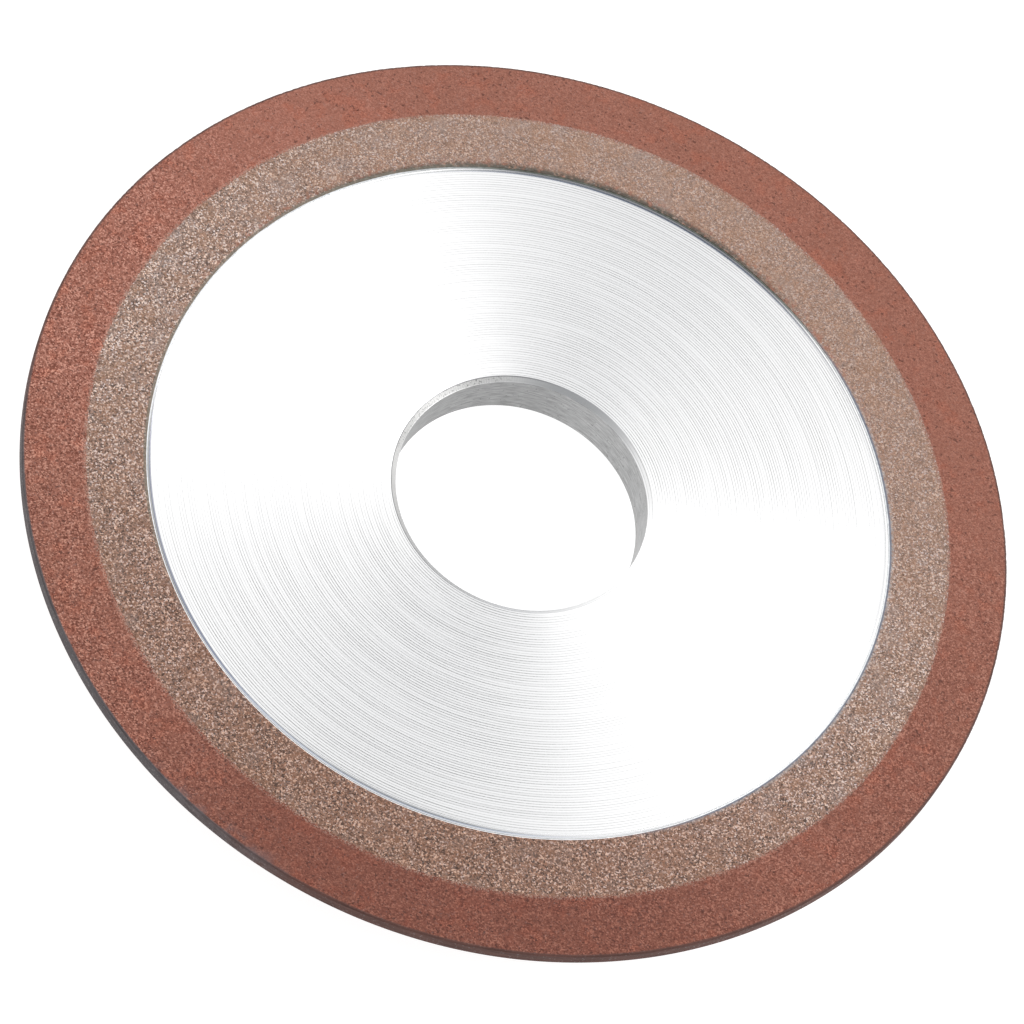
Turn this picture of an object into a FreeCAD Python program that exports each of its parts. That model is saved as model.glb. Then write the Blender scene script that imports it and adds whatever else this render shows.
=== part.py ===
"""A thin-rimmed diamond grinding wheel for sharpening tools, in four bonded pieces.

The wheel lies flat: its axis is Z, its flat grinding side faces +Z, and the origin is the
wheel's centre, on the bore's axis halfway through the hub.  A turned aluminium hub carries a
resin-bonded abrasive rim made in two moulded rings: a backing ring without diamond, keyed to
the hub by a tongue and a film of adhesive, and the diamond ring outside it.  The front is
flush all over.  The back is a flat seat round the bore, and outside that one straight cone
thins hub and rim down to a narrow land at the edge.

Every piece is a section in the (radius, height) plane, turned once round the axis.
Sizes are in millimetres.
"""
import FreeCAD, Part
import os

# Wheel
WHEEL_DIAMETER = 125.0
BORE_DIAMETER = 32.0
HUB_THICKNESS = 7.0
BACK_SEAT_DIAMETER = 80.0
RIM_LAND_HEIGHT = 1.8

# Rim, from the outside in
DIAMOND_RING_WIDTH = 7.7
BACKING_RING_WIDTH = 7.6
ADHESIVE_THICKNESS = 0.15
RIM_EDGE_BREAK = 0.15

# Chamfers at the two ends of the bore
BORE_FRONT_CHAMFER_WIDTH = 0.7
BORE_FRONT_CHAMFER_DEPTH = 0.5
BORE_BACK_CHAMFER = 0.7

# The hub's front edge falls by a small chamfer to a narrow land beside the adhesive
HUB_EDGE_CHAMFER_WIDTH = 0.4
HUB_EDGE_DROP = 0.15
HUB_EDGE_LAND_WIDTH = 0.25

# Groove round the hub, which the backing ring's tongue fills
GROOVE_DEPTH = 1.0
GROOVE_MOUTH_HEIGHT = 2.4
GROOVE_FLOOR_HEIGHT = 1.0

# Radii and heights that follow from those sizes
WHEEL_RADIUS = WHEEL_DIAMETER / 2.0
BORE_RADIUS = BORE_DIAMETER / 2.0
BACK_SEAT_RADIUS = BACK_SEAT_DIAMETER / 2.0
DIAMOND_INNER_RADIUS = WHEEL_RADIUS - DIAMOND_RING_WIDTH
BACKING_INNER_RADIUS = DIAMOND_INNER_RADIUS - BACKING_RING_WIDTH
HUB_RADIUS = BACKING_INNER_RADIUS - ADHESIVE_THICKNESS
FRONT = HUB_THICKNESS / 2.0
BACK = -HUB_THICKNESS / 2.0
RIM_BACK = FRONT - RIM_LAND_HEIGHT
HUB_EDGE_TOP = FRONT - HUB_EDGE_DROP


def back_cone(radius):
    """Height of the conical back at a radius outside the flat seat."""
    slope = (RIM_BACK - BACK) / (WHEEL_RADIUS - BACK_SEAT_RADIUS)
    return BACK + slope * (radius - BACK_SEAT_RADIUS)


def keyed_edge(radius):
    """The hub's grooved edge from the back cone up to its land, drawn at any radius."""
    middle = (back_cone(HUB_RADIUS) + HUB_EDGE_TOP) / 2.0
    half_mouth = GROOVE_MOUTH_HEIGHT / 2.0
    half_floor = GROOVE_FLOOR_HEIGHT / 2.0
    floor_radius = radius - GROOVE_DEPTH
    return [
        (radius, back_cone(radius)),
        (radius, middle - half_mouth),
        (floor_radius, middle - half_floor),
        (floor_radius, middle + half_floor),
        (radius, middle + half_mouth),
        (radius, HUB_EDGE_TOP),
    ]


def turned(section):
    """The solid that a closed (radius, height) section makes when turned round the axis."""
    corners = [FreeCAD.Vector(radius, 0.0, height) for radius, height in section]
    outline = Part.makePolygon(corners + corners[:1])
    axis = FreeCAD.Vector(0.0, 0.0, 1.0)
    ring = Part.Face(outline).revolve(FreeCAD.Vector(0.0, 0.0, 0.0), axis, 360.0)
    return Part.Solid(ring) if ring.ShapeType == "Shell" else ring


def hub_core():
    """Aluminium hub: chamfered bore, flat faces, conical back and a grooved edge."""
    land_inner_radius = HUB_RADIUS - HUB_EDGE_LAND_WIDTH
    bore_side = [
        (BORE_RADIUS + BORE_FRONT_CHAMFER_WIDTH, FRONT),
        (BORE_RADIUS, FRONT - BORE_FRONT_CHAMFER_DEPTH),
        (BORE_RADIUS, BACK + BORE_BACK_CHAMFER),
        (BORE_RADIUS + BORE_BACK_CHAMFER, BACK),
    ]
    front_edge = [
        (land_inner_radius, HUB_EDGE_TOP),
        (land_inner_radius - HUB_EDGE_CHAMFER_WIDTH, FRONT),
    ]
    return turned(bore_side + [(BACK_SEAT_RADIUS, BACK)] + keyed_edge(HUB_RADIUS) + front_edge)


def adhesive_film():
    """Cured adhesive between the hub's grooved edge and the backing ring."""
    return turned(keyed_edge(HUB_RADIUS) + keyed_edge(BACKING_INNER_RADIUS)[::-1])


def backing_ring():
    """Resin ring without diamond: its tongue fills the groove, its front is flush."""
    outer_side = [
        (DIAMOND_INNER_RADIUS, FRONT),
        (DIAMOND_INNER_RADIUS, back_cone(DIAMOND_INNER_RADIUS)),
    ]
    return turned(keyed_edge(BACKING_INNER_RADIUS) + [(BACKING_INNER_RADIUS, FRONT)] + outer_side)


def diamond_ring():
    """Resin ring with diamond: the working rim, with its two outer corners broken."""
    broken_radius = WHEEL_RADIUS - RIM_EDGE_BREAK
    return turned([
        (DIAMOND_INNER_RADIUS, back_cone(DIAMOND_INNER_RADIUS)),
        (broken_radius, back_cone(broken_radius)),
        (WHEEL_RADIUS, RIM_BACK + RIM_EDGE_BREAK),
        (WHEEL_RADIUS, FRONT - RIM_EDGE_BREAK),
        (broken_radius, FRONT),
        (DIAMOND_INNER_RADIUS, FRONT),
    ])


PIECES = {
    "hub_core": hub_core,
    "adhesive_film": adhesive_film,
    "backing_ring": backing_ring,
    "diamond_ring": diamond_ring,
}


def main():
    os.makedirs("parts", exist_ok=True)
    for node, make_piece in PIECES.items():
        solid = make_piece()
        if not solid.isValid() or len(solid.Solids) != 1:
            raise ValueError(node + " is not one valid solid")
        solid.exportStep("parts/" + node + ".step")
        print(node, "volume", round(solid.Volume, 1), "mm3")


main()
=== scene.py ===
"""Looks of the diamond grinding wheel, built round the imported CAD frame.

Each CAD node is replaced by one closed mesh with the surface that the real piece has: turned
grooves on the hub, and moulded grit on the two abrasive rings.  Lengths are in metres, but
the materials work in millimetres.  Angles round the wheel are in degrees from +X.
"""
import math

import bpy
import numpy as np
from mathutils import Matrix, Vector


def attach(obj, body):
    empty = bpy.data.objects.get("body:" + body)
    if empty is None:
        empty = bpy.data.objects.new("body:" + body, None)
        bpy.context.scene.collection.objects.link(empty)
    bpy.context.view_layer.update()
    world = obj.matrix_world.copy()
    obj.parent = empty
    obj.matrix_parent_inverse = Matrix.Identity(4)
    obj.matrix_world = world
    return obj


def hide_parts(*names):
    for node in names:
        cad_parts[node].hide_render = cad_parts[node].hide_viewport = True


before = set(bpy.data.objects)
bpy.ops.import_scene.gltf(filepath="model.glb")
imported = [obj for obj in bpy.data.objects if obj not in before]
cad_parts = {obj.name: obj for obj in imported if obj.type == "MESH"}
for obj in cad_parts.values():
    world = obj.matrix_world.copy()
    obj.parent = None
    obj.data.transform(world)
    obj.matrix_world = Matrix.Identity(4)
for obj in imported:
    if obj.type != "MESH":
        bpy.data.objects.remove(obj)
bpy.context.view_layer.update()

MM = 0.001
CIRCLE = 2.0 * math.pi


# ---------------------------------------------------------------- sizes, read from the frame

def corners_of(node):
    """Every (radius, height) at which the CAD node's turned section has a corner."""
    points = np.array([vertex.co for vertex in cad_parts[node].data.vertices])
    section = np.column_stack([np.hypot(points[:, 0], points[:, 1]), points[:, 2]])
    return np.unique(section.round(6), axis=0)


def radii_at(corners, height):
    """The radii of the corners at a height, smallest first."""
    return sorted(corners[np.isclose(corners[:, 1], height, atol=2e-6), 0])


def heights_at(corners, radius):
    """The heights of the corners at a radius, lowest first."""
    return sorted(corners[np.isclose(corners[:, 0], radius, atol=2e-6), 1])


hub_corners = corners_of("hub_core")
film_corners = corners_of("adhesive_film")
diamond_corners = corners_of("diamond_ring")

FRONT = hub_corners[:, 1].max()
BACK = hub_corners[:, 1].min()

BORE_RADIUS = hub_corners[:, 0].min()
BORE_CHAMFER_BACK, BORE_CHAMFER_FRONT = heights_at(hub_corners, BORE_RADIUS)
FRONT_INNER_RADIUS, FRONT_OUTER_RADIUS = radii_at(hub_corners, FRONT)
BACK_INNER_RADIUS, BACK_SEAT_RADIUS = radii_at(hub_corners, BACK)

HUB_RADIUS = hub_corners[:, 0].max()
HUB_EDGE_BACK, GROOVE_MOUTH_BACK, GROOVE_MOUTH_FRONT, HUB_EDGE_TOP = heights_at(
    hub_corners, HUB_RADIUS
)
HUB_LAND_RADIUS = radii_at(hub_corners, HUB_EDGE_TOP)[0]
groove_corners = hub_corners[
    (hub_corners[:, 0] > FRONT_INNER_RADIUS)
    & (hub_corners[:, 0] < FRONT_OUTER_RADIUS)
    & (hub_corners[:, 1] > BACK)
]
GROOVE_FLOOR_RADIUS = groove_corners[:, 0].max()
GROOVE_FLOOR_BACK, GROOVE_FLOOR_FRONT = heights_at(hub_corners, GROOVE_FLOOR_RADIUS)

BACKING_INNER_RADIUS = film_corners[:, 0].max()
ADHESIVE_THICKNESS = BACKING_INNER_RADIUS - HUB_RADIUS
DIAMOND_INNER_RADIUS = diamond_corners[:, 0].min()
WHEEL_RADIUS = diamond_corners[:, 0].max()
RIM_LAND_BACK, RIM_LAND_FRONT = heights_at(diamond_corners, WHEEL_RADIUS)
RIM_BREAK_RADIUS = radii_at(diamond_corners, FRONT)[-1]
RIM_BREAK_BACK = heights_at(diamond_corners, RIM_BREAK_RADIUS)[0]

# ------------------------------------------------------------------------- surface detail

HUB_SEGMENTS = 300
RING_SEGMENTS = 1620

# Turned grooves: the tool's feed per turn on each face, and how deep each groove is
FRONT_FEED = 0.338 * MM
BACK_FEED = 0.9 * MM
GROOVE_DEPTH = 0.012 * MM
GROOVE_DEPTH_SPREAD = 0.3
SHALLOWEST_GROOVE = 0.1
SLOW_FEED_WAVE = 0.781 * MM
GROOVE_DEPTH_WAVES = ((0.588 * MM, 0.2), (SLOW_FEED_WAVE, 0.2))

# The dark lines painted as shade at the bottom of the grooves: their spacing, and the shade of the
# darkest
FEED_LINES = ((FRONT_FEED, 0.34), (SLOW_FEED_WAVE, 0.88))

EDGE_ROUNDING = 0.05 * MM
ARC_STEPS = 4

# Abrasive rings: spacing of the surface facets, their relief, and the share of facets with a
# pit left by a lost grain, with the depth of the pit
FACET_ROW = 0.18 * MM
BACK_FACET_ROW = 1.3 * MM
FACET_SHIFT = 0.36
BACKING_RELIEF = 0.035 * MM
DIAMOND_RELIEF = 0.02 * MM
BACKING_PITS = (0.06, 0.08 * MM)
DIAMOND_PITS = (0.035, 0.08 * MM)
SHALLOWEST_PIT = 0.4
RIM_ROUGHNESS = 0.35

# The border between the rings: a slow wave, a ragged edge, and a lean towards one side
BORDER_WAVE = 0.16 * MM
BORDER_RAGGEDNESS = 0.08 * MM
BORDER_LEAN = 0.22 * MM
BORDER_LEAN_SIDE = 55.0
EDGE_CHIPS = 0.05 * MM
CHIP_RARITY = 3

# The adhesive's visible edge: how high it swells, as a share of the film's thickness, and the
# cycles of its waves round the wheel
ADHESIVE_SWELL = 0.4
ADHESIVE_WAVES = (20, 90)

# Surface colours, as linear red, green and blue
WHITE = (1.0, 1.0, 1.0)
FACE_METAL = ((0.925, 0.926, 0.928), (0.955, 0.956, 0.957))
# The bore's wall: brushed metal darkened as painted shade, and more painted shade on one side
BORE_METAL_AND_SHADE = ((0.33, 0.33, 0.33), (0.56, 0.56, 0.56))
BORE_SHADE = (0.80, 0.80, 0.80)
BORE_SPECK = (0.19, 0.19, 0.19)
# Painted shade on the bore's chamfer: a dull colour left off on one side, a darker far side, and
# darkening over its chatter marks
CHAMFER_METAL_AND_SHADE = (0.66, 0.655, 0.645)
CHAMFER_SIDE_SHADE = (0.62, 0.62, 0.62)
CHATTER_SHADE = (0.60, 0.60, 0.60)
BORE_EDGE_SHADE = (0.42, 0.42, 0.43)
# Painted reflections on the hub's outer corner: a bluish line on one side, a bluish tint on
# another
CORNER_REFLECTION_LINE = (0.44, 0.455, 0.53)
CORNER_REFLECTION_TINT = (0.75, 0.79, 0.88)
# The hub's land: painted shade over one side, a darker arc, and a dark blue-grey painted shade on
# the far side
LAND_SIDE_SHADE = (0.75, 0.755, 0.765)
LAND_DARKER_TINT = (0.60, 0.60, 0.60)
LAND_ARC_SHADE = (0.12, 0.125, 0.145)

# The adhesive: dark olive as painted shade on one side, pale steel-grey elsewhere
GLUE_OLIVE_SHADE = ((0.070, 0.077, 0.062), (0.19, 0.20, 0.165))
GLUE_STEELY = ((0.66, 0.68, 0.70), (0.92, 0.93, 0.94))
GLUE_LINE = (0.15, 0.14, 0.11)
GLUE_BLUE = (0.11, 0.14, 0.19)
METAL_DUST = (0.36, 0.33, 0.32)
# Painted shadow: a dark patchy band on the backing ring beside the hub, on one side
MARGIN_SHADOW = (0.045, 0.045, 0.035)

BEIGE_RESIN = ((0.205, 0.124, 0.087), (0.275, 0.171, 0.126), (0.370, 0.242, 0.183))
BEIGE_PALE_GRIT = (0.75, 0.61, 0.535)
BEIGE_DARK_GRIT = (0.050, 0.030, 0.023)
BEIGE_GRIT_TINTS = ((1.10, 0.99, 0.91), (0.99, 1.0, 1.0), (0.92, 0.98, 1.11))
BEIGE_WARM_PATCH = (0.29, 0.150, 0.084)
BEIGE_DUSTY_PATCH = (0.26, 0.208, 0.190)
# Painted shade: the beige ring darker on one side, and darkest at a spot within it
BEIGE_SIDE_SHADE = (0.80, 0.69, 0.64)
BEIGE_SPOT_SHADE = (0.93, 0.91, 0.88)

RED_RESIN = ((0.186, 0.061, 0.037), (0.235, 0.081, 0.052), (0.298, 0.111, 0.072))
RED_PALE_GRIT = (0.46, 0.218, 0.155)
RED_DARK_GRIT = (0.098, 0.018, 0.006)
RED_DULL_PATCH = (0.21, 0.075, 0.045)
RED_RUSTY_TINT = (1.07, 0.95, 0.88)
RED_PORE = (0.085, 0.022, 0.012)
# Painted shade and light: the red ring darker on one side, darkest at a spot, paler on another
RED_SIDE_SHADE = (0.88, 0.82, 0.80)
RED_SPOT_SHADE = (0.79, 0.70, 0.655)
RED_SIDE_LIGHT = (1.16, 1.18, 1.22)
RED_SMEAR = (0.28, 0.095, 0.055)
BORDER_RED = (0.24, 0.085, 0.058)
BORDER_BEIGE = (0.33, 0.22, 0.17)

RIM_BROWN = ((0.048, 0.018, 0.013), (0.105, 0.045, 0.035))
RIM_SLATE = ((0.036, 0.036, 0.040), (0.086, 0.086, 0.092))
RIM_SMUDGE = (0.13, 0.11, 0.115)

FLOOR_GREY = (0.25, 0.25, 0.25)
FLOOR_GLOW = 0.92
FLOOR_RADIUS = 3.0
FLOOR_SIDES = 96

# ------------------------------------------------------------- where the surface marks and painted light are

# Where marks and painted light and shade lie round the wheel: their middle, how far from it they
# are at full strength, and how far from it they are gone, in degrees.  The glue lines at the
# margin, smears, dust and smudges are dirt, and the land's darker arc is only a darker tint.
# Painted light and shade: the clear lines and grit, the dark and pale sides and spots, the shade
# in the bore, the chamfer's dull, darker and chattered parts with its edge line, the reflections
# on the hub's corner, the shade on its land, and the dark olive adhesive and shadow beside the
# hub.  These are fixed to the wheel, and turn with it.
CLEAR_LINES = (260.0, 14.0, 49.0)
FAINT_LINES = (72.0, 14.0, 53.0)
SHADED_BORE = (140.0, 20.0, 65.0)
UNSHADED_CHAMFER = (350.0, 65.0, 85.0)
SHADED_CHAMFER_SIDE = (80.0, 9.0, 34.0)
CHATTERED_CHAMFER = (155.0, 12.0, 42.0)
DARKENED_BORE_EDGE = (180.0, 65.0, 95.0)
REFLECTION_LINE_CORNER = (222.0, 14.0, 32.0)
REFLECTION_TINT_CORNER = (262.0, 22.0, 45.0)
SHADED_LAND_SIDE = (250.0, 60.0, 112.0)
DARKER_LAND_ARC = (215.0, 10.0, 26.0)
SHADED_LAND_ARC = (92.0, 16.0, 36.0)
SHADED_ADHESIVE = (92.0, 20.0, 44.0)
SMEARED_MARGIN = (110.0, 37.0, 84.0)
SHADOWED_MARGIN = (108.0, 22.0, 52.0)
DUSTY_MARGIN = (2.0, 30.0, 55.0)
BLUE_MARGIN = (5.0, 40.0, 62.0)
DARK_MARGIN = (172.0, 32.0, 63.0)
BEIGE_LIT_GRIT = (260.0, 80.0, 180.0)
BEIGE_SHADED_SIDE = (272.0, 26.0, 90.0)
BEIGE_SHADED_SPOT = (272.0, 10.0, 35.0)
RED_LIT_GRIT = (208.0, 26.0, 66.0)
RED_HALF_LIT_GRIT = (325.0, 26.0, 78.0)
RED_SHADED_SIDE = (300.0, 37.0, 85.0)
RED_SHADED_SPOT = (284.0, 14.0, 44.0)
RED_LIT_SIDE = (168.0, 12.0, 45.0)
SLATE_RIM = (228.0, 18.0, 39.0)
SMUDGED_RIM = (256.0, 3.6, 12.8)

# How far marks and painted shade reach from an edge, in millimetres: where they begin, and where
# they are full
BORE_WALL_REACH = (0.06, 0.01)
POLISHED_EDGE_REACH = (-0.05, 0.05)
LAND_REACH = (-0.08, 0.02)
SMEAR_REACH = (1.8, 0.3)
SHADOW_REACH = (1.05, 0.15)
DUST_REACH = (0.65, 0.35)
BLUE_LINE_REACH = (0.30, 0.12)
DARK_LINE_REACH = (0.45, 0.25)
BEIGE_BORDER_REACH = (-0.45, 0.10)
RED_BORDER_REACH = (0.45, -0.10)
RIM_SKIN_REACH = (-0.42, -0.18)
RIM_SMUDGE_REACH = (-2.2, -0.2)

# Rings of marks, painted shade and painted reflection round an edge, in millimetres: inner and
# outer side, and softness
CHAMFER_RING = (0.02, 0.0, 0.08)
BORE_EDGE_RING = (-0.12, 0.06, 0.05)
HUB_CORNER_RING = (0.20, 0.52, 0.11)

# Patches: their size in millimetres, and the noise where they begin and where they are full
BORE_SPECKS = (0.30, 0.65, 0.71)
CHATTER_SPECKS = (0.22, 0.58, 0.66)
RED_SMEARS = (0.9, 0.50, 0.62)
SHADOW_PATCHES = (0.6, 0.25, 0.55)
DUST_PATCHES = (0.5, 0.35, 0.60)
WARM_PATCHES = (3.0, 0.45, 0.68)
DUSTY_PATCHES = (4.2, 0.52, 0.70)
DULL_PATCHES = (5.0, 0.35, 0.70)
RUSTY_PATCHES = (2.2, 0.50, 0.68)
PORES = (0.46, 0.655, 0.71)
RIM_SMUDGES = (1.6, 0.36, 0.66)

# The noise values between which the colour ramps run
RAMP_NOISE = (0.3, 0.7)

# How fast streaks change round the wheel, in millimetres of noise per radian, and how far the
# face's streaks shift for each millimetre of height
FACE_STRETCH = 0.25
LINE_STRETCH = 1.5
BORE_STRETCH = 2.0
SKIN_STRETCH = 3.0
STREAK_SLANT = 1.7

# The feed lines: their share of darkness in the faint sector, their least clarity and least
# fading, how much they break up, how long they fade in feeds, and the part of a wave they fill
FAINT_SHARE = 0.8
LEAST_CLARITY = 0.45
LINE_BREAKING = (0.35, 1.45)
FADE_LENGTH = 2.2
FADE_NOISE = (0.30, 0.60)
LINE_CREST = (0.35, 1.0)

# Sizes of the streaks, lumps and grains, in millimetres
FINE_STREAK = 0.11
COARSE_STREAK = 0.9
LINE_BREAK = 0.22
BORE_STREAK = 0.22
SKIN_STREAK = 0.25
ADHESIVE_LUMP = 0.5
BEIGE_GRAIN = 0.175
RED_GRAIN = 0.17

# The size of the fine grains beside the coarse ones, the weights of coarse grains in the relief
# and of fine streaks in the metal, and the number of chatter marks round the bore's chamfer
FINE_GRAIN = 0.65
COARSE_GRAIN_SHARE = 0.6
FINE_STREAK_SHARE = 0.6
CHATTER_MARKS = 310.0

# Grains: the cell values where they begin and where they are full, and their least and most
# contrast
BEIGE_PALE_CELLS = (0.72, 0.92)
BEIGE_DARK_CELLS = (0.36, 0.12)
BEIGE_GLOSSY_CELLS = (0.80, 0.95)
BEIGE_CONTRAST = (0.30, 0.83)
RED_PALE_CELLS = (0.69, 0.92)
RED_DARK_CELLS = (0.35, 0.14)
RED_GLOSSY_CELLS = (0.90, 0.97)
RED_CONTRAST = (0.26, 0.93)
STRAY_CELLS = (0.62, 0.72)

# Roughness: of the two ends of what varies, and of the hub's unturned parts
FACE_ROUGHNESS = (0.36, 0.42)
EDGE_ROUGHNESS = 0.20
CHAMFER_ROUGHNESS = 0.42
BORE_ROUGHNESS = 0.55
ADHESIVE_ROUGHNESS = (0.45, 0.75)
BEIGE_ROUGHNESS = (0.82, 0.32)
RED_ROUGHNESS = (0.80, 0.38)
FLOOR_ROUGHNESS = 0.9
TURNED_ANISOTROPY = 0.9
UNTURNED_ANISOTROPY = 0.15

# Seeds of the random shapes
HUB_SEED = 11
BORDER_SEED = 23
BACKING_SEED = 31
DIAMOND_SEED = 37
CHIP_SEED = 47
ADHESIVE_SEED = 5

# --------------------------------------------------------------------- light and camera

# The studio's colour; its patches as azimuth, elevation, solid and faded radius in degrees,
# and colour; its softboxes as name, azimuth, elevation, distance, size and radiance
STUDIO_COLOUR = (0.96, 0.962, 0.966)
STUDIO_PATCHES = (
    (95.0, 66.0, 12.0, 44.0, (1.25, 1.25, 1.25)),
    (-82.0, 47.0, 24.0, 42.0, (0.34, 0.355, 0.375)),
    (90.5, 8.0, 12.0, 21.0, (0.14, 0.17, 0.24)),
)
SOFTBOXES = (
    ("left_softbox", 130.0, 40.0, 0.9, 0.42, 5.5),
    ("right_softbox", 18.0, 40.0, 0.9, 0.42, 4.8),
)

# The camera: its distance from the front face, its lens and sensor in millimetres, how far it
# leans from straight down and rolls, and how far the wheel's centre is from the axis of view
CAMERA_DISTANCE = 0.7396
CAMERA_LENS = 210.9375
CAMERA_SENSOR = 36.0
CAMERA_NEAREST = 0.05
CAMERA_LEAN = 32.1
CAMERA_ROLL = 26.76
CENTRE_RIGHT = 1.368 * MM
CENTRE_UP = 2.293 * MM


# --------------------------------------------------------------------------- mesh building

def arc_corner(before, corner, after):
    """Points that round off one corner of a section, with one more on each side of the arc."""
    to_before = (before - corner).normalized()
    to_after = (after - corner).normalized()
    half_angle = to_before.angle(to_after) / 2.0
    reach = EDGE_ROUNDING / math.tan(half_angle)
    centre = corner + (to_before + to_after).normalized() * EDGE_ROUNDING / math.sin(half_angle)
    first = corner + to_before * reach - centre
    last = corner + to_after * reach - centre
    shares = [step / ARC_STEPS for step in range(ARC_STEPS + 1)]
    arc = [centre + first.slerp(last, share) * EDGE_ROUNDING for share in shares]
    return [arc[0] + to_before * EDGE_ROUNDING, *arc, arc[-1] + to_after * EDGE_ROUNDING]


def rounded_run(corners):
    """An open run of a section with every corner but its two ends rounded off."""
    points = [Vector(corner) for corner in corners]
    run = [points[0]]
    for before, corner, after in zip(points, points[1:], points[2:]):
        run += arc_corner(before, corner, after)
    return run + [points[-1]]


def grooved_run(start, end, height, feed, rng):
    """A turned flat face, and which of its points are crests with a valley on each side."""
    count = max(2, round(abs(end - start) / feed))
    crests = np.linspace(start, end, count + 1)
    valleys = (crests[:-1] + crests[1:]) / 2.0
    depths = 1.0 + GROOVE_DEPTH_SPREAD * rng.uniform(-1.0, 1.0, count)
    for wavelength, share in GROOVE_DEPTH_WAVES:
        depths += share * np.sin(CIRCLE * valleys / wavelength)
    inwards = -math.copysign(GROOVE_DEPTH, height)
    run, crest_flags = [Vector((crests[0], height))], [True]
    for valley, depth, crest in zip(valleys, depths.clip(SHALLOWEST_GROOVE, None), crests[1:]):
        run += [Vector((valley, height + inwards * depth)), Vector((crest, height))]
        crest_flags += [False, True]
    return run, crest_flags


def grid_quads(rows, segments):
    """The faces of a closed ring of rows, outward where the rows run front, rim, back, bore."""
    row, column = np.meshgrid(np.arange(rows), np.arange(segments), indexing="ij")
    next_row = (row + 1) % rows
    next_column = (column + 1) % segments
    corners = [
        row * segments + column,
        next_row * segments + column,
        next_row * segments + next_column,
        row * segments + next_column,
    ]
    return np.stack(corners, axis=-1).reshape(-1, 4)


def split_quads(quads, rng):
    """Each quad as two triangles, along a diagonal picked at random."""
    one_way = [quads[:, [0, 1, 2]], quads[:, [0, 2, 3]]]
    other_way = [quads[:, [0, 1, 3]], quads[:, [1, 2, 3]]]
    pick = rng.random(len(quads))[:, None] < 0.5
    return np.concatenate([np.where(pick, a, b) for a, b in zip(one_way, other_way)])


def mesh_piece(name, node, radius, height, angle, faces, material):
    """A new object from grid coordinates, riding on the wheel and standing for a CAD node."""
    points = np.stack([radius * np.cos(angle), radius * np.sin(angle), height], axis=-1)
    mesh = bpy.data.meshes.new(name)
    mesh.from_pydata(points.reshape(-1, 3).tolist(), [], faces.tolist())
    mesh.materials.append(material)
    piece = bpy.data.objects.new(name, mesh)
    bpy.context.scene.collection.objects.link(piece)
    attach(piece, "root")
    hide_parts(node)
    return piece


def mark_sharp_rows(mesh, sharp_rows, segments):
    """Smooth shading, broken along the circles of the given rows."""
    mesh.shade_smooth()
    ends = np.empty(len(mesh.edges) * 2, np.int32)
    mesh.edges.foreach_get("vertices", ends)
    end_rows = ends.reshape(-1, 2) // segments
    sharp = (end_rows[:, 0] == end_rows[:, 1]) & np.isin(end_rows[:, 0], sharp_rows)
    flags = mesh.attributes.new("sharp_edge", "BOOLEAN", "EDGE")
    flags.data.foreach_set("value", sharp)


# ------------------------------------------------------------------------------ node tools

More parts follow.
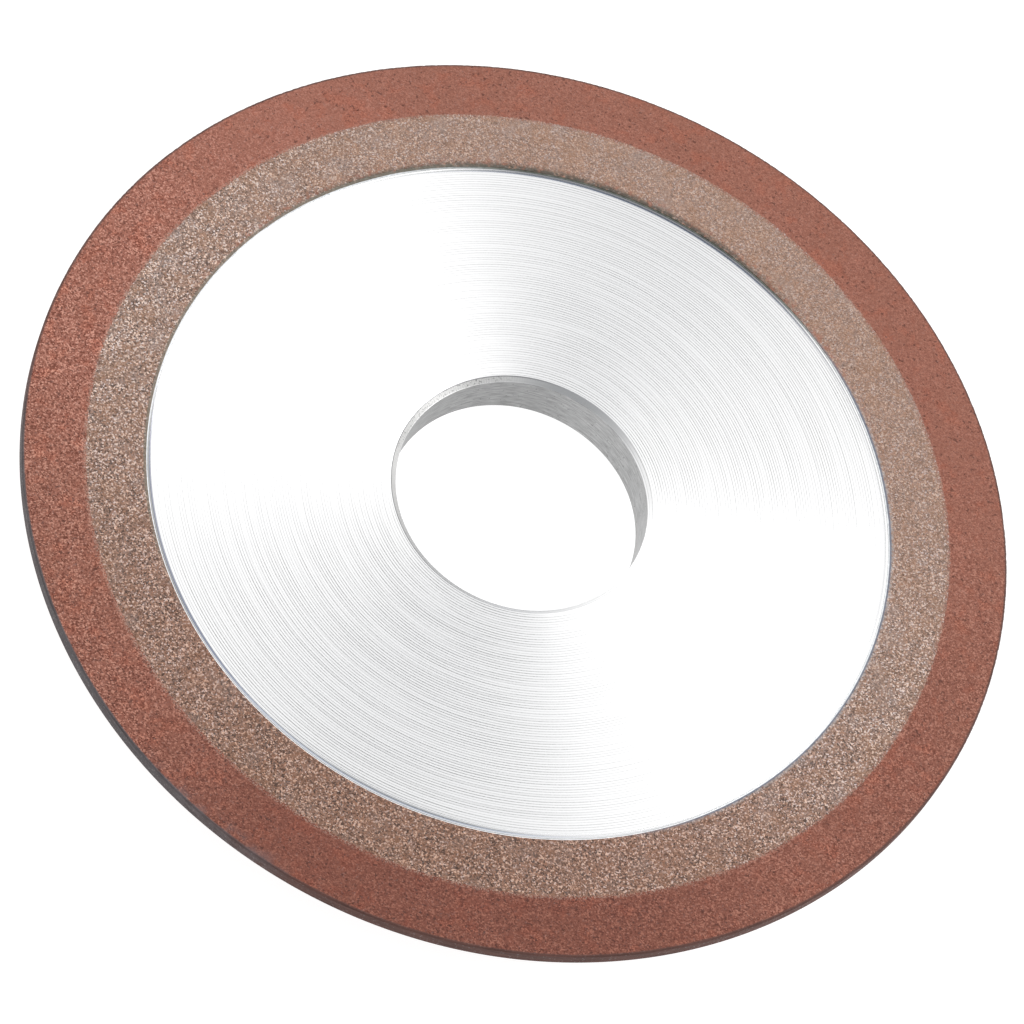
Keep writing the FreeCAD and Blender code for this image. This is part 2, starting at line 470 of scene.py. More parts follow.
class Nodes:
    """Short ways to add nodes to one node tree.  Colours are given without an alpha."""

    def __init__(self, tree):
        self.tree = tree

    def add(self, kind, settings=None, inputs=None):
        """A node with its settings, and its inputs either linked from a socket or set."""
        node = self.tree.nodes.new(kind)
        for key, value in (settings or {}).items():
            setattr(node, key, value)
        for key, value in (inputs or {}).items():
            self.feed(node.inputs[key], value)
        return node

    def feed(self, socket, value):
        if isinstance(value, bpy.types.NodeSocket):
            self.tree.links.new(value, socket)
        elif socket.type == "RGBA":
            socket.default_value = (*value, 1.0)
        else:
            socket.default_value = value

    def surface(self, **inputs):
        """Feeds the Principled node; underscores in a name stand for its spaces."""
        principled = self.tree.nodes["Principled BSDF"]
        for key, value in inputs.items():
            self.feed(principled.inputs[key.replace("_", " ")], value)

    def math(self, operation, first, second=0.0):
        settings = {"operation": operation}
        return self.add("ShaderNodeMath", settings, {0: first, 1: second}).outputs[0]

    def times(self, first, *others):
        """The product of two or more values."""
        for other in others:
            first = self.math("MULTIPLY", first, other)
        return first

    def blend(self, first, second, share):
        """A weighted sum of two values, share being the weight of the first."""
        return self.math("ADD", self.times(first, share), self.times(second, 1.0 - share))

    def band(self, value, start, end):
        """0 before start and 1 after end, smooth between; start may be the larger."""
        inputs = {"Value": value, "From Min": start, "From Max": end}
        settings = {"interpolation_type": "SMOOTHSTEP"}
        return self.add("ShaderNodeMapRange", settings, inputs).outputs["Result"]

    def span(self, value, low, high):
        """A 0 to 1 value spread from low to high, which may be sockets too."""
        inputs = {"Value": value, "To Min": low, "To Max": high}
        return self.add("ShaderNodeMapRange", None, inputs).outputs["Result"]

    def mix(self, factor, first, second, blend="MIX"):
        """One colour laid over another."""
        settings = {"data_type": "RGBA", "blend_type": blend}
        return self.add("ShaderNodeMix", settings, {0: factor, 6: first, 7: second}).outputs[2]

    def ramp(self, value, colours, start=0.0, end=1.0):
        """A colour ramp whose colours are evenly spaced from start to end."""
        node = self.add("ShaderNodeValToRGB", None, {"Fac": value})
        elements = node.color_ramp.elements
        while len(elements) < len(colours):
            elements.new(0.5)
        positions = np.linspace(start, end, len(colours))
        for element, position, colour in zip(elements, positions, colours):
            element.position = position
            element.color = (*colour, 1.0)
        return node.outputs["Color"]

    def point(self, x, y, z=0.0):
        return self.add("ShaderNodeCombineXYZ", None, {"X": x, "Y": y, "Z": z}).outputs[0]

    def noise(self, place, size, detail=2.0, roughness=0.5):
        """Smooth noise whose features are about the given size."""
        inputs = {"Vector": place, "Scale": 1.0 / size, "Detail": detail, "Roughness": roughness}
        return self.add("ShaderNodeTexNoise", None, inputs).outputs["Fac"]

    def cells(self, place, size):
        """Two random values that stay the same across each cell of the given size."""
        node = self.add("ShaderNodeTexVoronoi", None, {"Vector": place, "Scale": 1.0 / size})
        values = self.add("ShaderNodeSeparateColor", None, {"Color": node.outputs["Color"]})
        return values.outputs["Red"], values.outputs["Green"]

    def bump(self, height, strength, distance):
        inputs = {"Strength": strength, "Distance": distance, "Height": height}
        return self.add("ShaderNodeBump", None, inputs).outputs["Normal"]


class WheelPaint(Nodes):
    """A material that knows where on the wheel a point is, and whose colour is built in layers.

    place, radius and height are in millimetres, and turn is the angle round the wheel in
    radians.
    """

    def __init__(self, name):
        self.material = bpy.data.materials.new(name)
        self.material.use_nodes = True
        super().__init__(self.material.node_tree)
        coordinates = self.add("ShaderNodeTexCoord").outputs["Object"]
        scaling = {0: coordinates, "Scale": 1.0 / MM}
        self.place = self.add("ShaderNodeVectorMath", {"operation": "SCALE"}, scaling).outputs[0]
        parts = self.add("ShaderNodeSeparateXYZ", None, {"Vector": self.place})
        x, y, self.height = parts.outputs
        self.radius = self.math("SQRT", self.math("ADD", self.times(x, x), self.times(y, y)))
        self.turn = self.math("ARCTAN2", y, x)
        self.colour = None

    def sector(self, centre, full, gone):
        """1 within full degrees of a direction, and 0 beyond gone degrees from it."""
        away = self.math("SUBTRACT", self.turn, math.radians(centre))
        start, end = math.cos(math.radians(gone)), math.cos(math.radians(full))
        return self.band(self.math("COSINE", away), start, end)

    def reach(self, edge, start, end):
        """0 before start and 1 after end, both measured outward from the radius of an edge."""
        return self.band(self.radius, edge + start, edge + end)

    def ring(self, inner, outer, softness):
        """1 between two radii, fading over a width inside each of them."""
        rising = self.band(self.radius, inner, inner + softness)
        return self.times(rising, self.band(self.radius, outer, outer - softness))

    def patches(self, size, start, end, detail=3.0, roughness=0.5):
        """Irregular patches: 0 where the noise is below start, 1 where it is above end."""
        return self.band(self.noise(self.place, size, detail, roughness), start, end)

    def lay(self, mask, colour, strength=1.0):
        """Lays a colour over the paint where the mask is 1."""
        self.colour = self.mix(self.times(mask, strength), self.colour, colour)

    def tint(self, mask, colour):
        """Multiplies the paint by a colour where the mask is 1."""
        self.colour = self.mix(mask, self.colour, self.mix(1.0, self.colour, colour, "MULTIPLY"))


# ------------------------------------------------------------------------------- materials

def turned_face(paint, streak):
    """Pale metal crossed by dark feed lines painted as shade in the grooves, which fade in and out
    and are broken up.
    """
    paint.colour = paint.ramp(streak, FACE_METAL, *RAMP_NOISE)
    # Painted light: the lines' shade is strongest in two opposite sectors
    clear = paint.sector(*CLEAR_LINES)
    less_clear = paint.times(paint.sector(*FAINT_LINES), FAINT_SHARE)
    clarity = paint.span(paint.math("MAXIMUM", clear, less_clear), LEAST_CLARITY, 1.0)
    broken = paint.span(paint.noise(paint.place, LINE_BREAK, detail=1.0), *LINE_BREAKING)
    arc_place = paint.point(paint.radius, paint.times(paint.turn, LINE_STRETCH))
    for pitch, darkest in FEED_LINES:
        wave = paint.math("COSINE", paint.times(paint.radius, CIRCLE * MM / pitch))
        fading = paint.band(paint.noise(arc_place, FADE_LENGTH * pitch / MM), *FADE_NOISE)
        fading = paint.span(fading, LEAST_CLARITY, 1.0)
        line = paint.times(paint.band(wave, *LINE_CREST), fading, clarity, broken)
        paint.tint(line, (darkest, darkest, darkest))


def bore_with_shade(paint):
    """The bore's brushed wall, darkened as painted shade all round and more on one side; gives
    back the mask of the wall.
    """
    in_bore = paint.reach(BORE_RADIUS / MM, *BORE_WALL_REACH)
    brush_place = paint.point(paint.times(paint.turn, BORE_STRETCH), paint.height)
    brushing = paint.noise(brush_place, BORE_STREAK, detail=3.0)
    # Painted shade: the brushed metal is darkened, and darker still on one side
    paint.lay(in_bore, paint.ramp(brushing, BORE_METAL_AND_SHADE, *RAMP_NOISE))
    paint.tint(paint.times(in_bore, paint.sector(*SHADED_BORE)), BORE_SHADE)
    specks = paint.patches(*BORE_SPECKS, detail=2.0)
    paint.lay(paint.times(in_bore, specks), BORE_SPECK, strength=0.8)
    return in_bore


def chamfer_with_shade(paint):
    """The bore's front chamfer, dulled as painted shade except on one side and darkest on the far
    side, with chatter marks; gives back its mask and chatter marks.
    """
    inner, outer = BORE_RADIUS / MM, FRONT_INNER_RADIUS / MM
    inset, outset, softness = CHAMFER_RING
    on_chamfer = paint.ring(inner + inset, outer + outset, softness)
    # Painted shade: the chamfer is dulled except on one side, and darker still on another
    spared = paint.times(paint.sector(*UNSHADED_CHAMFER), 0.75)
    dull = paint.times(on_chamfer, paint.math("SUBTRACT", 1.0, spared))
    paint.lay(dull, CHAMFER_METAL_AND_SHADE, strength=0.85)
    paint.lay(paint.times(on_chamfer, paint.sector(*SHADED_CHAMFER_SIDE)), CHAMFER_SIDE_SHADE)
    # Painted shade over the chattered part, which also carries real chatter specks
    chattered = paint.times(on_chamfer, paint.sector(*CHATTERED_CHAMFER))
    paint.tint(chattered, CHATTER_SHADE)
    specks = paint.patches(*CHATTER_SPECKS, detail=1.0)
    paint.lay(paint.times(chattered, specks), BORE_SPECK, strength=0.9)
    # Painted shade: a dark line along the chamfer's outer edge on one side
    inset, outset, softness = BORE_EDGE_RING
    edge = paint.ring(outer + inset, outer + outset, softness)
    paint.tint(paint.times(edge, paint.sector(*DARKENED_BORE_EDGE)), BORE_EDGE_SHADE)
    chatter = paint.math("SINE", paint.times(paint.turn, CHATTER_MARKS))
    return on_chamfer, paint.times(chatter, on_chamfer, 0.5)


def hub_edge_with_shade(paint):
    """The hub's outer edge: a painted reflection line and tint on its corner, painted shade on its
    land, and a darker arc on the land.
    """
    corner, land = FRONT_OUTER_RADIUS / MM, HUB_LAND_RADIUS / MM
    inset, outset, softness = HUB_CORNER_RING
    line = paint.ring(corner + inset, corner + outset, softness)
    # Painted reflection: a bluish line and a bluish tint on the corner, each on one side
    paint.tint(paint.times(line, paint.sector(*REFLECTION_LINE_CORNER)), CORNER_REFLECTION_LINE)
    paint.tint(paint.times(line, paint.sector(*REFLECTION_TINT_CORNER)), CORNER_REFLECTION_TINT)
    on_land = paint.reach(land, *LAND_REACH)
    # Painted shade: the land greyed over one side
    paint.tint(paint.times(on_land, paint.sector(*SHADED_LAND_SIDE)), LAND_SIDE_SHADE)
    # A darker tint over a short arc of the land
    paint.tint(paint.times(on_land, paint.sector(*DARKER_LAND_ARC)), LAND_DARKER_TINT)
    # Painted shade: the land laid dark blue-grey over the far side
    paint.lay(paint.times(on_land, paint.sector(*SHADED_LAND_ARC)), LAND_ARC_SHADE, strength=0.88)
    return paint.reach(corner, *POLISHED_EDGE_REACH)


def turned_aluminium():
    """Bright turned aluminium: fine concentric lines painted as shade, a dull bore darkened as
    painted shade, chatter on its chamfer.
    """
    paint = WheelPaint("turned_aluminium")
    across = paint.math("ADD", paint.radius, paint.times(paint.height, STREAK_SLANT))
    streak_place = paint.point(across, paint.times(paint.turn, FACE_STRETCH))
    coarse = paint.noise(streak_place, COARSE_STREAK, detail=3.0)
    fine = paint.noise(streak_place, FINE_STREAK, detail=1.0)
    streak = paint.blend(fine, coarse, FINE_STREAK_SHARE)
    turned_face(paint, streak)
    in_bore = bore_with_shade(paint)
    on_chamfer, chatter = chamfer_with_shade(paint)
    on_edge = hub_edge_with_shade(paint)

    roughness = paint.span(on_edge, paint.span(coarse, *FACE_ROUGHNESS), EDGE_ROUGHNESS)
    roughness = paint.span(on_chamfer, roughness, CHAMFER_ROUGHNESS)
    roughness = paint.span(in_bore, roughness, BORE_ROUGHNESS)
    unturned = paint.math("MAXIMUM", in_bore, paint.math("MAXIMUM", on_chamfer, on_edge))
    tangent = paint.add("ShaderNodeTangent", {"direction_type": "RADIAL", "axis": "Z"})
    paint.surface(
        Base_Color=paint.colour,
        Metallic=1.0,
        Roughness=roughness,
        Anisotropic=paint.span(unturned, TURNED_ANISOTROPY, UNTURNED_ANISOTROPY),
        Anisotropic_Rotation=0.25,
        Tangent=tangent.outputs[0],
        Normal=paint.bump(paint.math("ADD", streak, chatter), strength=0.25, distance=0.02 * MM),
    )
    return paint.material


def cured_adhesive():
    """Dull lumpy adhesive, smeared with metal: pale steel-grey, with dark olive as painted shade
    on one side.
    """
    paint = WheelPaint("cured_adhesive")
    lumps = paint.noise(paint.place, ADHESIVE_LUMP, detail=3.0)
    paint.colour = paint.ramp(lumps, GLUE_STEELY, *RAMP_NOISE)
    # Painted shade: the adhesive dark olive on one side
    paint.lay(paint.sector(*SHADED_ADHESIVE), paint.ramp(lumps, GLUE_OLIVE_SHADE, *RAMP_NOISE))
    paint.surface(
        Base_Color=paint.colour,
        Roughness=paint.span(lumps, *ADHESIVE_ROUGHNESS),
        Normal=paint.bump(lumps, strength=0.5, distance=0.05 * MM),
    )
    return paint.material


def packed_grit(paint, resin, grain_size, grain_contrast, kinds):
    """Resin with grains in it; kinds lists the cell values and the colour of each kind.

    Gives back the relief of the grains, their shine, and a value for stray grains.
    """
    grain, shine = paint.cells(paint.place, grain_size)
    fine_grain, stray = paint.cells(paint.place, FINE_GRAIN * grain_size)
    paint.colour = paint.ramp(fine_grain, resin)
    for cell_values, colour in kinds:
        paint.lay(paint.times(paint.band(grain, *cell_values), grain_contrast), colour)
    return paint.blend(grain, fine_grain, COARSE_GRAIN_SHARE), shine, stray


def marks_and_shadow_near_hub(paint):
    """Red smears, a painted shadow, metal dust and adhesive lines on the backing ring's inner
    margin.
    """
    inner = BACKING_INNER_RADIUS / MM
    smear = paint.times(
        paint.reach(inner, *SMEAR_REACH),
        paint.patches(*RED_SMEARS, roughness=0.6),
        paint.sector(*SMEARED_MARGIN),
    )
    paint.lay(smear, RED_SMEAR, strength=0.65)
    # Painted shadow: the margin beside the hub darkened in patches on one side
    shadow_mask = paint.times(
        paint.reach(inner, *SHADOW_REACH),
        paint.patches(*SHADOW_PATCHES, detail=2.0),
        paint.sector(*SHADOWED_MARGIN),
    )
    paint.lay(shadow_mask, MARGIN_SHADOW, strength=0.88)
    dust = paint.times(
        paint.reach(inner, *DUST_REACH),
        paint.patches(*DUST_PATCHES),
        paint.sector(*DUSTY_MARGIN),
    )
    paint.lay(dust, METAL_DUST, strength=0.7)
    blue_line = paint.times(paint.reach(inner, *BLUE_LINE_REACH), paint.sector(*BLUE_MARGIN))
    paint.lay(blue_line, GLUE_BLUE, strength=0.8)
    dark_line = paint.times(paint.reach(inner, *DARK_LINE_REACH), paint.sector(*DARK_MARGIN))
    paint.lay(dark_line, GLUE_LINE, strength=0.7)


def backing_bond():
    """Beige resin packed with coarse pale and dark grit, some of it glossy."""
    paint = WheelPaint("backing_bond")
    # Painted light: the grains' contrast is raised on one side, for glints and shade on the grit
    contrast = paint.span(paint.sector(*BEIGE_LIT_GRIT), *BEIGE_CONTRAST)
    kinds = ((BEIGE_PALE_CELLS, BEIGE_PALE_GRIT), (BEIGE_DARK_CELLS, BEIGE_DARK_GRIT))
    relief, shine, stray = packed_grit(paint, BEIGE_RESIN, BEIGE_GRAIN, contrast, kinds)
    paint.tint(1.0, paint.ramp(shine, BEIGE_GRIT_TINTS))
    paint.lay(paint.patches(*WARM_PATCHES), BEIGE_WARM_PATCH, strength=0.30)
    paint.lay(paint.patches(*DUSTY_PATCHES), BEIGE_DUSTY_PATCH, strength=0.28)
    # Painted shade: one side of the beige ring darkened, and a spot within it darkest
    paint.tint(paint.sector(*BEIGE_SHADED_SIDE), BEIGE_SIDE_SHADE)
    paint.tint(paint.sector(*BEIGE_SHADED_SPOT), BEIGE_SPOT_SHADE)
    marks_and_shadow_near_hub(paint)
    at_border = paint.reach(DIAMOND_INNER_RADIUS / MM, *BEIGE_BORDER_REACH)
    strays = paint.times(paint.band(stray, *STRAY_CELLS), at_border)
    paint.lay(strays, BORDER_RED, strength=0.85)
    paint.surface(
        Base_Color=paint.colour,
        Roughness=paint.span(paint.band(shine, *BEIGE_GLOSSY_CELLS), *BEIGE_ROUGHNESS),
        Normal=paint.bump(relief, strength=0.35, distance=0.05 * MM),
    )
    return paint.material


def rim_skin(paint):
    """The dark moulded skin of the rim, and the smudge it leaves on the face beside it."""
    rim = WHEEL_RADIUS / MM
    skin_place = paint.point(paint.times(paint.turn, SKIN_STRETCH), paint.height)
    skin_streak = paint.noise(skin_place, SKIN_STREAK)
    brown = paint.ramp(skin_streak, RIM_BROWN, *RAMP_NOISE)
    slate = paint.ramp(skin_streak, RIM_SLATE, *RAMP_NOISE)
    skin = paint.mix(paint.sector(*SLATE_RIM), brown, slate)
    paint.lay(paint.reach(rim, *RIM_SKIN_REACH), skin, strength=0.92)
    smudge = paint.times(
        paint.reach(rim, *RIM_SMUDGE_REACH),
        paint.patches(*RIM_SMUDGES),
        paint.sector(*SMUDGED_RIM),
    )
    paint.lay(smudge, RIM_SMUDGE, strength=0.38)


def diamond_bond():
    """Brick-red resin with fine grit, dark pores and a dark moulded skin on the rim."""
    paint = WheelPaint("diamond_bond")
    # Painted light: the grains' contrast is raised on one side, and partly on another
    grit_lit_side = paint.sector(*RED_LIT_GRIT)
    grit_half_lit_side = paint.times(paint.sector(*RED_HALF_LIT_GRIT), 0.65)
    contrast = paint.span(paint.math("MAXIMUM", grit_lit_side, grit_half_lit_side), *RED_CONTRAST)
    kinds = ((RED_PALE_CELLS, RED_PALE_GRIT), (RED_DARK_CELLS, RED_DARK_GRIT))
    relief, shine, stray = packed_grit(paint, RED_RESIN, RED_GRAIN, contrast, kinds)
    paint.lay(paint.patches(*DULL_PATCHES), RED_DULL_PATCH, strength=0.28)
    paint.tint(paint.patches(*RUSTY_PATCHES), RED_RUSTY_TINT)
    paint.lay(paint.patches(*PORES, detail=1.0), RED_PORE, strength=0.8)
    # Painted shade on one side and at a spot, painted light on another side
    paint.tint(paint.sector(*RED_SHADED_SIDE), RED_SIDE_SHADE)
    paint.tint(paint.sector(*RED_SHADED_SPOT), RED_SPOT_SHADE)
    paint.tint(paint.sector(*RED_LIT_SIDE), RED_SIDE_LIGHT)
    at_border = paint.reach(DIAMOND_INNER_RADIUS / MM, *RED_BORDER_REACH)
    strays = paint.times(paint.band(stray, *STRAY_CELLS), at_border)
    paint.lay(strays, BORDER_BEIGE, strength=0.85)
    rim_skin(paint)
    paint.surface(
        Base_Color=paint.colour,
        Roughness=paint.span(paint.band(shine, *RED_GLOSSY_CELLS), *RED_ROUGHNESS),
        Normal=paint.bump(relief, strength=0.3, distance=0.04 * MM),
    )
    return paint.material


# ------------------------------------------------------------------------------ the pieces

def back_cone(radius):
    """Height of the conical back at a radius, from the seat's edge to the rim land."""
    slope = (RIM_BREAK_BACK - BACK) / (RIM_BREAK_RADIUS - BACK_SEAT_RADIUS)
    return BACK + slope * (radius - BACK_SEAT_RADIUS)


def keyed_edge(radius):
    """The hub's grooved edge, offset to a radius, from its front corner to its back corner."""
    floor_radius = radius - HUB_RADIUS + GROOVE_FLOOR_RADIUS
    return [
        (radius, HUB_EDGE_TOP),
        (radius, GROOVE_MOUTH_FRONT),
        (floor_radius, GROOVE_FLOOR_FRONT),
        (floor_radius, GROOVE_FLOOR_BACK),
        (radius, GROOVE_MOUTH_BACK),
        (radius, HUB_EDGE_BACK + back_cone(radius) - back_cone(HUB_RADIUS)),
    ]


def round_angles(segments):
    """The angles of the columns of points round a piece, in radians."""
    return np.arange(segments) * CIRCLE / segments


def spun(section, segments):
    """The radius and the height of every point of a section spun round the wheel."""
    radius = np.repeat(section[:, :1], segments, axis=1)
    height = np.repeat(section[:, 1:], segments, axis=1)
    return radius, height


def make_hub():
    """The turned hub: grooved front and back faces, rounded corners, keyed edge."""
    rng = np.random.default_rng(HUB_SEED)
    front, front_crests = grooved_run(
        FRONT_INNER_RADIUS + 2 * EDGE_ROUNDING, FRONT_OUTER_RADIUS - 2 * EDGE_ROUNDING,
        FRONT, FRONT_FEED, rng,
    )
    back, back_crests = grooved_run(
        BACK_SEAT_RADIUS - 3 * EDGE_ROUNDING, BACK_INNER_RADIUS + 3 * EDGE_ROUNDING,
        BACK, BACK_FEED, rng,
    )
    edge = rounded_run([
        tuple(front[-1]),
        (FRONT_OUTER_RADIUS, FRONT),
        (HUB_LAND_RADIUS, HUB_EDGE_TOP),
        *keyed_edge(HUB_RADIUS),
        (BACK_SEAT_RADIUS, BACK),
        tuple(back[0]),
    ])[1:-1]
    bore = rounded_run([
        tuple(back[-1]),
        (BACK_INNER_RADIUS, BACK),
        (BORE_RADIUS, BORE_CHAMFER_BACK),
        (BORE_RADIUS, BORE_CHAMFER_FRONT),
        (FRONT_INNER_RADIUS, FRONT),
        tuple(front[0]),
    ])[1:-1]
    section = np.array([tuple(point) for point in front + edge + back + bore])
    crest_flags = front_crests + [False] * len(edge) + back_crests + [False] * len(bore)
    radius, height = spun(section, HUB_SEGMENTS)
    faces = grid_quads(len(section), HUB_SEGMENTS)
    piece = mesh_piece(
        "turned_hub", "hub_core", radius, height, round_angles(HUB_SEGMENTS),
        faces, turned_aluminium(),
    )
    mark_sharp_rows(piece.data, np.flatnonzero(crest_flags), HUB_SEGMENTS)


def wave_round(rng, amplitude, slowest=3, fastest=40):
    """A smooth closed wave round the wheel, a sum of whole numbers of cycles per turn."""
    wave = np.zeros(RING_SEGMENTS)
    for cycles in range(slowest, fastest):
        phase = cycles * round_angles(RING_SEGMENTS) + rng.uniform(0, CIRCLE)
        wave += rng.normal() / math.sqrt(cycles) * np.sin(phase)
    return amplitude * wave / np.abs(wave).max()


def ring_border():
    """How far the border between the two rings strays from its circle, all the way round."""
    rng = np.random.default_rng(BORDER_SEED)
    ragged = rng.uniform(-1.0, 1.0, RING_SEGMENTS) * BORDER_RAGGEDNESS
    lean = BORDER_LEAN * np.cos(round_angles(RING_SEGMENTS) - math.radians(BORDER_LEAN_SIDE))
    return wave_round(rng, BORDER_WAVE) + ragged + lean


def evenly(start, end, spacing):
    """Evenly spaced values from start to end, both included."""
    return np.linspace(start, end, max(2, round(abs(end - start) / spacing)) + 1)


def section_normals(section):
    """The outward direction at each row of a section that runs front, rim, back, bore."""
    ahead = np.roll(section, -1, axis=0) - np.roll(section, 1, axis=0)
    ahead /= np.linalg.norm(ahead, axis=1, keepdims=True)
    return np.column_stack([-ahead[:, 1], ahead[:, 0]])


def gritty_ring(name, node, section, loose, shift, relief, pits, seed, material):
    """A moulded ring whose loose rows are broken into small tilted facets with pits.

    section is a list of (radius, height) rows; loose is how freely each row's points move;
    shift is each row's radial shift round the wheel, as a (rows, segments) array.
    """
    rng = np.random.default_rng(seed)
    section = np.array(section)
    shape = (len(section), RING_SEGMENTS)
    radius, height = spun(section, RING_SEGMENTS)
    radius += shift
    free = np.repeat(loose[:, None], RING_SEGMENTS, axis=1)
    wander = rng.uniform(-FACET_SHIFT, FACET_SHIFT, shape) * CIRCLE / RING_SEGMENTS
    angle = round_angles(RING_SEGMENTS) + free * wander
    bumps = rng.uniform(-relief, relief, shape)
    pit_share, pit_depth = pits
    bumps -= (rng.random(shape) < pit_share) * rng.uniform(SHALLOWEST_PIT, 1.0, shape) * pit_depth
    along = rng.uniform(-FACET_SHIFT, FACET_SHIFT, shape) * FACET_ROW
    normal = section_normals(section)
    radius += free * (bumps * normal[:, :1] - along * normal[:, 1:])
    height += free * (bumps * normal[:, 1:] + along * normal[:, :1])
    faces = split_quads(grid_quads(len(section), RING_SEGMENTS), rng)
    mesh_piece(name, node, radius, height, angle, faces, material)


def make_backing_ring(border):
    """The beige ring: gritty front and back, a tongue in the hub's groove, a ragged border."""
    tongue = keyed_edge(BACKING_INNER_RADIUS)[::-1]
    front_radii = evenly(BACKING_INNER_RADIUS, DIAMOND_INNER_RADIUS, FACET_ROW)
    back_radii = evenly(DIAMOND_INNER_RADIUS, BACKING_INNER_RADIUS, BACK_FACET_ROW)[:-1]
    front = [(radius, FRONT) for radius in front_radii]
    back = [(radius, back_cone(radius)) for radius in back_radii]
    section = front + back + tongue
    loose = np.zeros(len(section))
    loose[1:len(front) - 1] = 1.0
    shift = np.zeros((len(section), RING_SEGMENTS))
    shift[[len(front) - 1, len(front)]] = border
    gritty_ring(
        "backing_grit_ring", "backing_ring", section, loose, shift,
        BACKING_RELIEF, BACKING_PITS, BACKING_SEED, backing_bond(),
    )


def make_diamond_ring(border):
    """The red ring: fine grit, a chipped front edge and a narrow land at the rim."""
    front_radii = evenly(DIAMOND_INNER_RADIUS, RIM_BREAK_RADIUS, FACET_ROW)
    land_heights = evenly(RIM_LAND_FRONT, RIM_LAND_BACK, FACET_ROW)
    back_radii = evenly(RIM_BREAK_RADIUS, DIAMOND_INNER_RADIUS, BACK_FACET_ROW)
    front = [(radius, FRONT) for radius in front_radii]
    land = [(WHEEL_RADIUS, height) for height in land_heights]
    back = [(radius, back_cone(radius)) for radius in back_radii]
    section = front + land + back
    loose = np.zeros(len(section))
    loose[1:len(front) - 1] = 1.0
    loose[len(front) + 1:len(front) + len(land) - 1] = RIM_ROUGHNESS
    shift = np.zeros((len(section), RING_SEGMENTS))
    shift[[0, -1]] = border
    chip_depths = np.random.default_rng(CHIP_SEED).random((2, RING_SEGMENTS)) ** CHIP_RARITY
    shift[len(front) - 1:len(front) + 1] = -EDGE_CHIPS * chip_depths
    gritty_ring(
        "diamond_grit_ring", "diamond_ring", section, loose, shift,
        DIAMOND_RELIEF, DIAMOND_PITS, DIAMOND_SEED, diamond_bond(),
    )


def make_adhesive():
    """The thin film of adhesive, its visible edge slightly uneven in height."""
    outer = keyed_edge(BACKING_INNER_RADIUS)
    inner = keyed_edge(HUB_RADIUS)[::-1]
    section = np.array([inner[-1], *outer, *inner[:-1]])
    radius, height = spun(section, RING_SEGMENTS)
    uneven = 1.0 + wave_round(np.random.default_rng(ADHESIVE_SEED), 1.0, *ADHESIVE_WAVES)
    height[1] += ADHESIVE_SWELL * ADHESIVE_THICKNESS * uneven
    faces = grid_quads(len(section), RING_SEGMENTS)
    mesh_piece(
        "adhesive_line", "adhesive_film", radius, height, round_angles(RING_SEGMENTS),
        faces, cured_adhesive(),
    )


# -------------------------------------------------------------------- floor, light, camera

def make_floor():
    """A pale round table top that glows nearly white by itself, so hardly a shadow shows."""
    material = bpy.data.materials.new("pale_floor")
    material.use_nodes = True
    Nodes(material.node_tree).surface(
        Base_Color=FLOOR_GREY,
        Roughness=FLOOR_ROUGHNESS,
        Emission_Color=WHITE,
        Emission_Strength=FLOOR_GLOW,
    )
    bpy.ops.mesh.primitive_circle_add(
        vertices=FLOOR_SIDES, radius=FLOOR_RADIUS, fill_type="NGON", location=(0.0, 0.0, BACK)
    )
    floor = bpy.context.object
    floor.name = "floor"
    floor.data.materials.append(material)


def direction(azimuth, elevation):
    """The unit vector at an azimuth and an elevation in degrees."""
    around, up = math.radians(azimuth), math.radians(elevation)
    return Vector((math.cos(around) * math.cos(up), math.sin(around) * math.cos(up), math.sin(up)))


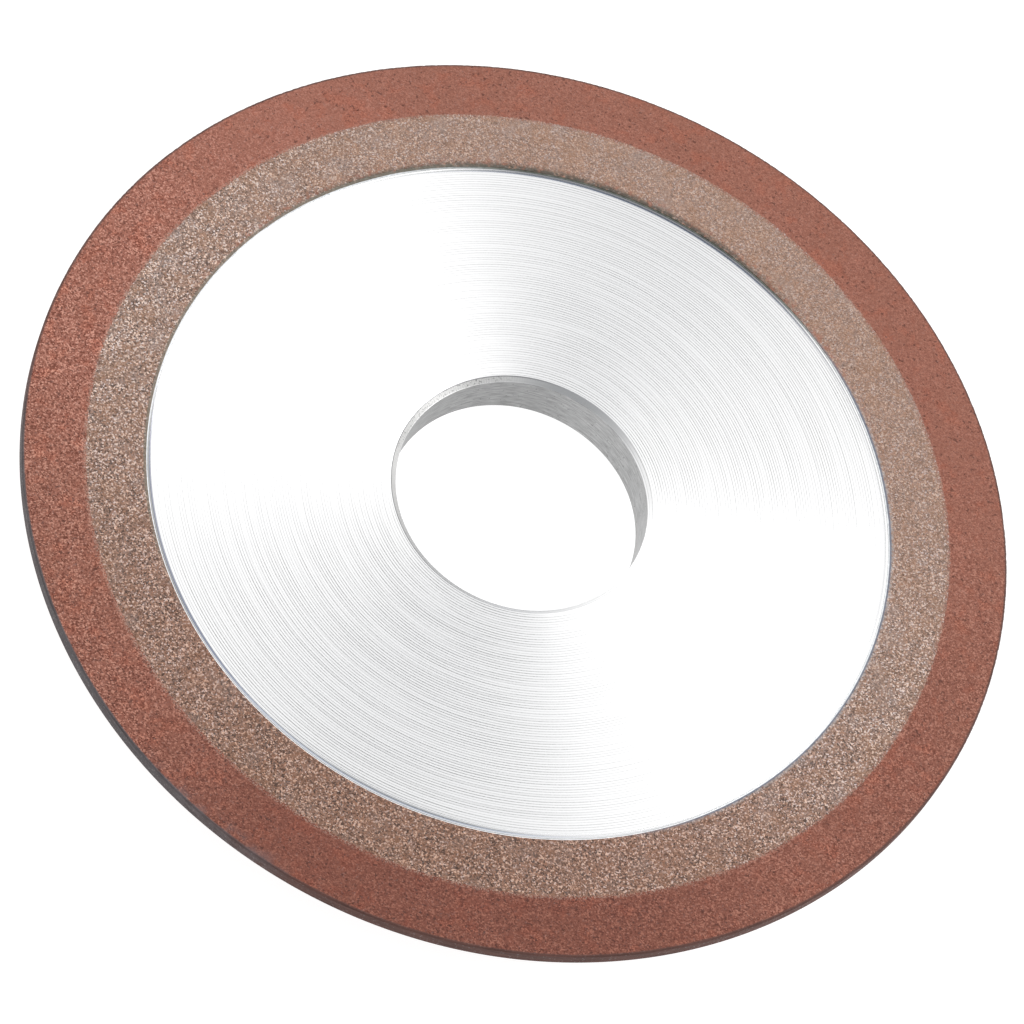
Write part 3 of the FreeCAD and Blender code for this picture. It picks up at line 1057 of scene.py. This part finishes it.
def make_world():
    """A pale studio with a brighter patch high on the far side and two dim ones.

    One dim patch is on the camera's side.  The other, a dark blue-grey, is low on the far side,
    and shows behind the wheel in views that are nearly level with the floor.
    """
    world = bpy.data.worlds.new("studio")
    bpy.context.scene.world = world
    world.use_nodes = True
    nodes = Nodes(world.node_tree)
    sight = nodes.add("ShaderNodeTexCoord").outputs["Generated"]
    colour = STUDIO_COLOUR
    for azimuth, elevation, solid, faded, patch_colour in STUDIO_PATCHES:
        inputs = {0: sight, 1: direction(azimuth, elevation)}
        towards = nodes.add("ShaderNodeVectorMath", {"operation": "DOT_PRODUCT"}, inputs)
        start, end = math.cos(math.radians(faded)), math.cos(math.radians(solid))
        mask = nodes.band(towards.outputs["Value"], start, end)
        colour = nodes.mix(mask, colour, patch_colour)
    background = world.node_tree.nodes["Background"]
    nodes.feed(background.inputs["Color"], colour)


def make_softbox(name, azimuth, elevation, distance, size, radiance):
    """A square soft light that faces the wheel and that the camera doesn't see."""
    light = bpy.data.lights.new(name, "AREA")
    light.shape = "SQUARE"
    light.size = size
    light.energy = radiance * size ** 2 * math.pi
    lamp = bpy.data.objects.new(name, light)
    lamp.location = direction(azimuth, elevation) * distance
    lamp.rotation_euler = (-lamp.location).to_track_quat("-Z", "Y").to_euler()
    lamp.visible_camera = False
    bpy.context.scene.collection.objects.link(lamp)


def make_camera():
    """A long lens above the near side, rolled so that the wheel leans to the right."""
    lean, roll = math.radians(CAMERA_LEAN), math.radians(CAMERA_ROLL)
    forward = Vector((0.0, math.sin(lean), -math.cos(lean)))
    level_right = Vector((1.0, 0.0, 0.0))
    level_up = Vector((0.0, math.cos(lean), math.sin(lean)))
    right = level_right * math.cos(roll) + level_up * math.sin(roll)
    up = level_up * math.cos(roll) - level_right * math.sin(roll)
    centre = Vector((0.0, 0.0, FRONT))
    place = centre - right * CENTRE_RIGHT - up * CENTRE_UP - forward * CAMERA_DISTANCE
    data = bpy.data.cameras.new("camera")
    data.sensor_width = CAMERA_SENSOR
    data.lens = CAMERA_LENS
    data.clip_start = CAMERA_NEAREST
    camera = bpy.data.objects.new("camera", data)
    axes = Matrix((right, up, -forward)).transposed().to_4x4()
    camera.matrix_world = Matrix.Translation(place) @ axes
    bpy.context.scene.collection.objects.link(camera)
    bpy.context.scene.camera = camera


make_floor()
make_world()
for softbox in SOFTBOXES:
    make_softbox(*softbox)
make_camera()
bpy.context.scene.view_settings.view_transform = "Standard"

border = ring_border()
make_hub()
make_adhesive()
make_backing_ring(border)
make_diamond_ring(border)
